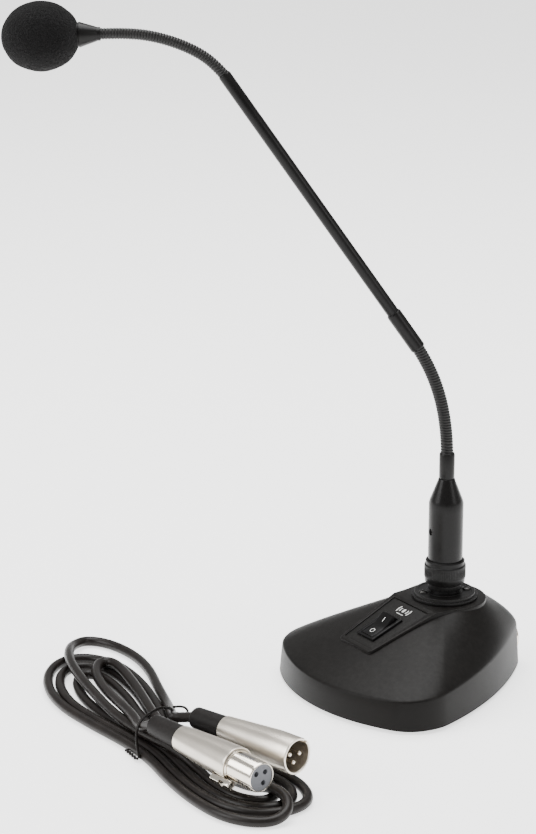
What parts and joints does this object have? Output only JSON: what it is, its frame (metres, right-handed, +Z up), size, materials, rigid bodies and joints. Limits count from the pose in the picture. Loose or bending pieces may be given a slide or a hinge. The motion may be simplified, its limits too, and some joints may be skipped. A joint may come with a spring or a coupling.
{
  "type": "gooseneck desk microphone",
  "caption": "Weighted desk base with a rocker switch and a locking socket, a plug-in two-stage gooseneck, a capsule head with a foam ball, and its coiled signal cable.",
  "frame": {"origin": "on the surface that the base stands on, under the axis of the neck's socket", "axes": "+Z up, -Y towards the front with the switch, +X to the right of a person facing the back from the front"},
  "size_m": [0.255, 0.257, 0.3724],
  "materials": {
    "cover_plastic": "fine matt texture",
    "panel_plastic": "matt",
    "switch_plastic": "satin black",
    "black_metal": "satin black coating",
    "flex_metal": "black coated steel wire",
    "plain_steel": "zinc plated",
    "ballast_iron": "as cast",
    "pad_rubber": "foam rubber",
    "board_laminate": "solder mask",
    "board_component": "moulded",
    "brass": "plated contacts",
    "insulator": "moulded",
    "grey_insulator": "moulded",
    "nickel": "satin nickel",
    "foam": "open-cell foam",
    "cable_jacket": "satin"
  },
  "bodies": {
    "base": {"base_cover": "cover_plastic", "anti_slip_pad": "pad_rubber", "bottom_plate": "plain_steel", "bottom_screws": "plain_steel", "ballast": "ballast_iron", "label_panel": "panel_plastic", "switch_bezel": "switch_plastic", "switch_terminals": "brass", "circuit_board": "board_laminate", "board_spacers": "brass", "board_screws": "plain_steel", "board_parts": "board_component", "socket_flange": "black_metal", "flange_screws": "black_metal", "socket_insert": "insulator", "socket_contacts": "brass", "lock_collet": "black_metal", "output_housing": "black_metal", "output_insert": "insulator", "output_pins": "brass"},
    "rocker": {"switch_rocker": "switch_plastic"},
    "ring": {"lock_ring": "black_metal"},
    "mic_plug": {"plug_shell": "black_metal", "plug_insert": "insulator", "plug_pins": "brass", "plug_set_screw": "plain_steel", "neck_ferrule": "black_metal"},
    "lower_1": {"lower_link_1": "flex_metal"},
    "lower_2": {"lower_link_2": "flex_metal"},
    "lower_3": {"lower_link_3": "flex_metal"},
    "lower_4": {"lower_link_4": "flex_metal"},
    "lower_5": {"lower_link_5": "flex_metal"},
    "tube": {"neck_sleeve": "black_metal", "middle_tube": "black_metal"},
    "upper_1": {"upper_link_1": "flex_metal"},
    "upper_2": {"upper_link_2": "flex_metal"},
    "upper_3": {"upper_link_3": "flex_metal"},
    "upper_4": {"upper_link_4": "flex_metal"},
    "upper_5": {"upper_link_5": "flex_metal"},
    "upper_6": {"upper_link_6": "flex_metal"},
    "head": {"head_housing": "black_metal", "capsule": "plain_steel", "capsule_grille": "plain_steel"},
    "foam": {"windscreen": "foam"},
    "cable": {"cable_hank": "cable_jacket", "cable_tie": "cable_jacket", "female_boot": "cable_jacket", "female_shell": "nickel", "female_nose": "nickel", "female_insert": "grey_insulator", "male_boot": "cable_jacket", "male_shell": "nickel", "male_insert": "insulator", "male_pins": "brass"},
    "latch": {"female_latch": "nickel"}
  },
  "joints": [
    {"name": "switch_rock", "type": "hinge", "parent": "base", "child": "rocker", "pos_m": [0, -0.04343, 0.03641], "axis": [1, 0, 0], "range_deg": [-22, 0]},
    {"name": "ring_turn", "type": "hinge", "parent": "base", "child": "ring", "pos_m": [0, 0, 0.06], "axis": [0, 0, 1], "range_deg": [0, 360]},
    {"name": "plug_pull", "type": "slide", "parent": "base", "child": "mic_plug", "axis": [0, 0, 1], "range_m": [0, 0.02]},
    {"name": "lower_bend", "type": "hinge", "parent": "mic_plug", "child": "lower_1", "pos_m": [0, 0, 0.1294], "axis": [0.8339, -0.5519, 0], "range_deg": [-12, 8]},
    {"name": "lower_sway", "type": "hinge", "parent": "lower_1", "child": "lower_2", "pos_m": [-0.00046, -0.0007, 0.14137], "axis": [0.5484, 0.8285, 0.1132], "range_deg": [-8, 8]},
    {"name": "lower_bend_2", "type": "hinge", "parent": "lower_2", "child": "lower_3", "pos_m": [-0.0015, -0.00226, 0.15322], "axis": [0.8339, -0.5519, 0], "range_deg": [-12, 8]},
    {"name": "lower_sway_2", "type": "hinge", "parent": "lower_3", "child": "lower_4", "pos_m": [-0.00321, -0.00485, 0.16481], "axis": [0.5234, 0.7908, 0.3173], "range_deg": [-8, 8]},
    {"name": "lower_bend_3", "type": "hinge", "parent": "lower_4", "child": "lower_5", "pos_m": [-0.00569, -0.0086, 0.17594], "axis": [0.8339, -0.5519, 0], "range_deg": [-12, 8]},
    {"name": "lower_sway_3", "type": "hinge", "parent": "lower_5", "child": "tube", "pos_m": [-0.0089, -0.01345, 0.18644], "axis": [0.4681, 0.7072, 0.5299], "range_deg": [-8, 8]},
    {"name": "upper_bend", "type": "hinge", "parent": "tube", "child": "upper_1", "pos_m": [-0.06649, -0.10046, 0.33544], "axis": [0.8339, -0.5519, 0], "range_deg": [-14.5, 8]},
    {"name": "upper_sway", "type": "hinge", "parent": "upper_1", "child": "upper_2", "pos_m": [-0.07102, -0.10729, 0.34336], "axis": [0.3283, 0.496, 0.8039], "range_deg": [-9, 9]},
    {"name": "upper_bend_2", "type": "hinge", "parent": "upper_2", "child": "upper_3", "pos_m": [-0.07652, -0.11561, 0.34889], "axis": [0.8339, -0.5519, 0], "range_deg": [-14.5, 8]},
    {"name": "upper_sway_2", "type": "hinge", "parent": "upper_3", "child": "upper_4", "pos_m": [-0.08243, -0.12454, 0.35279], "axis": [0.1568, 0.2368, 0.9588], "range_deg": [-9, 9]},
    {"name": "upper_bend_3", "type": "hinge", "parent": "upper_4", "child": "upper_5", "pos_m": [-0.08856, -0.1338, 0.35535], "axis": [0.8339, -0.5519, 0], "range_deg": [-14.5, 8]},
    {"name": "upper_sway_3", "type": "hinge", "parent": "upper_5", "child": "upper_6", "pos_m": [-0.09484, -0.14329, 0.35614], "axis": [0.0144, 0.0218, 0.9997], "range_deg": [-9, 9]},
    {"name": "upper_bend_4", "type": "hinge", "parent": "upper_6", "child": "head", "pos_m": [-0.10113, -0.15279, 0.35595], "axis": [0.8339, -0.5519, 0], "range_deg": [-14.5, 8]},
    {"name": "foam_pull", "type": "slide", "parent": "head", "child": "foam", "axis": [-0.5515, -0.8332, -0.0401], "range_m": [0, 0.03]},
    {"name": "cable_lift", "type": "slide", "parent": "base", "child": "cable", "axis": [0, 0, 1], "range_m": [0, 0.05]},
    {"name": "latch_press", "type": "slide", "parent": "cable", "child": "latch", "axis": [-0.083, 0.7771, 0.6239], "range_m": [0, 0.0005], "stiffness_N_per_m": 600}
  ],
  "couplings": [
    {"joint": "lower_bend_2", "follows": "lower_bend", "ratio": 1},
    {"joint": "lower_sway_2", "follows": "lower_sway", "ratio": 1},
    {"joint": "lower_bend_3", "follows": "lower_bend", "ratio": 1},
    {"joint": "lower_sway_3", "follows": "lower_sway", "ratio": 1},
    {"joint": "upper_bend_2", "follows": "upper_bend", "ratio": 1},
    {"joint": "upper_sway_2", "follows": "upper_sway", "ratio": 1},
    {"joint": "upper_bend_3", "follows": "upper_bend", "ratio": 1},
    {"joint": "upper_sway_3", "follows": "upper_sway", "ratio": 1},
    {"joint": "upper_bend_4", "follows": "upper_bend", "ratio": 1}
  ]
}
